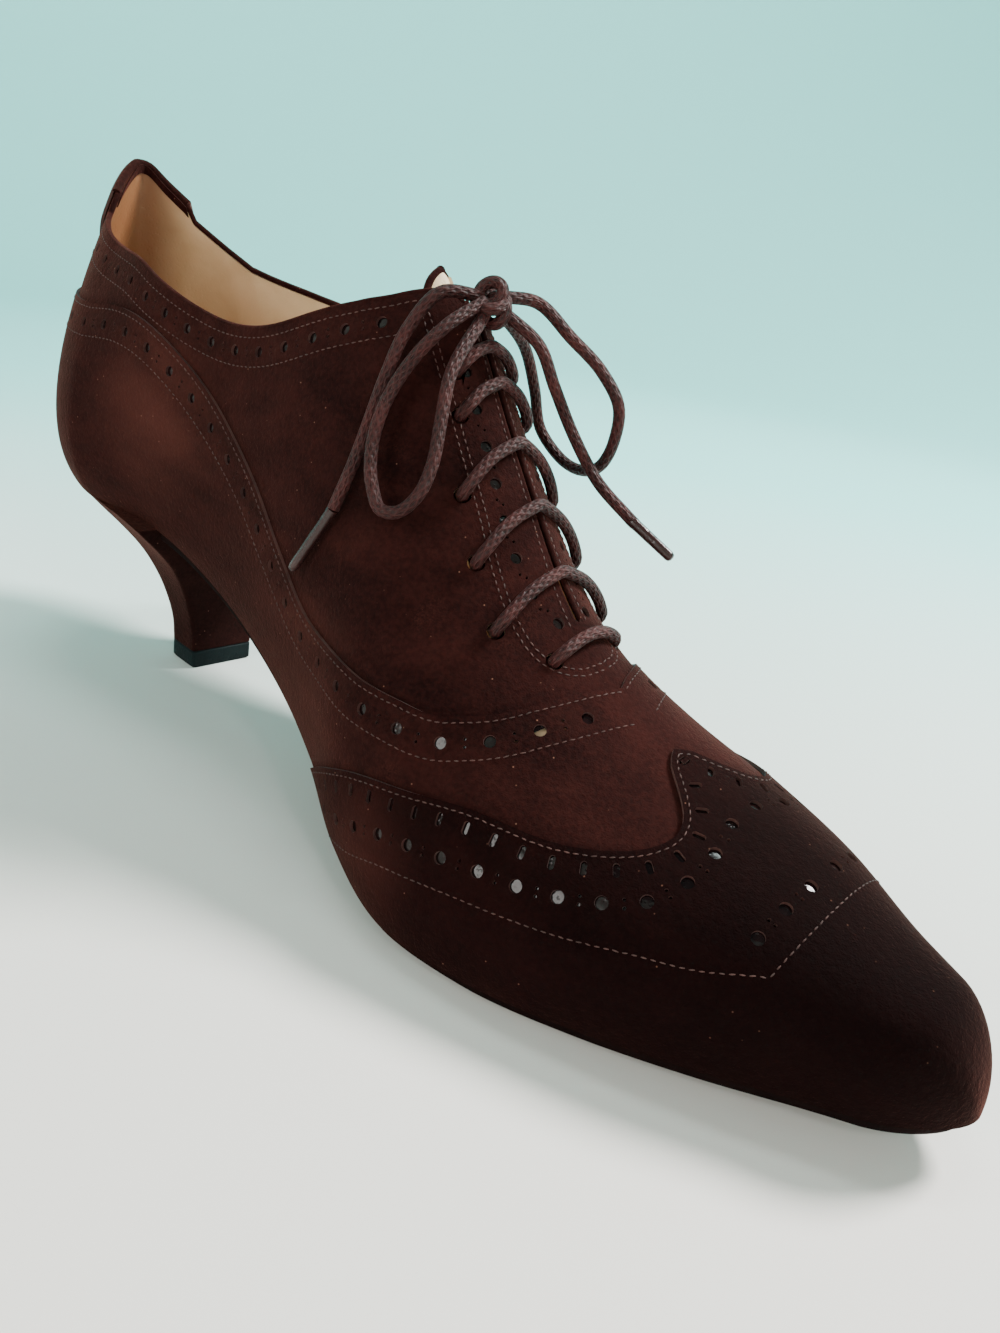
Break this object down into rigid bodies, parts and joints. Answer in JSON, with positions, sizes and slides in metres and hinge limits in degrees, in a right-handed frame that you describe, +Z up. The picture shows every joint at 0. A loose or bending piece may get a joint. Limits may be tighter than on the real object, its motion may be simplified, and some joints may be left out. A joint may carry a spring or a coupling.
{
  "type": "lace up heel",
  "caption": "Pointed suede lace-up pump with wing tip, punched trim, raised back tab, bow lacing and a curved covered heel.",
  "frame": {"origin": "centre of the heel tip's floor face", "axes": "+X toward the toe, +Y to the wearer's left, +Z up"},
  "size_m": [0.272, 0.0807, 0.1285],
  "materials": {
    "suede": "dark brown suede, matt nap",
    "suede_overlay": "dark brown suede, matt nap",
    "lining": "smooth beige lining leather",
    "sole_leather": "dark stained sole leather, satin",
    "tip_rubber": "hard black rubber",
    "lace": "waxed reddish brown braid",
    "aglet": "greyish plastic sleeve"
  },
  "bodies": {
    "root": {"upper": "suede", "wing_tip": "suede_overlay", "back_tab": "suede_overlay", "tongue": "suede", "outsole": "sole_leather", "insole": "lining", "heel": "suede", "heel_tip": "tip_rubber", "lace_bars": "lace", "lace_knot": "lace", "lace_loop_near": "lace", "lace_loop_far": "lace", "lace_end_near": "lace", "lace_end_far": "lace", "aglet_near": "aglet", "aglet_far": "aglet"}
  },
  "joints": []
}
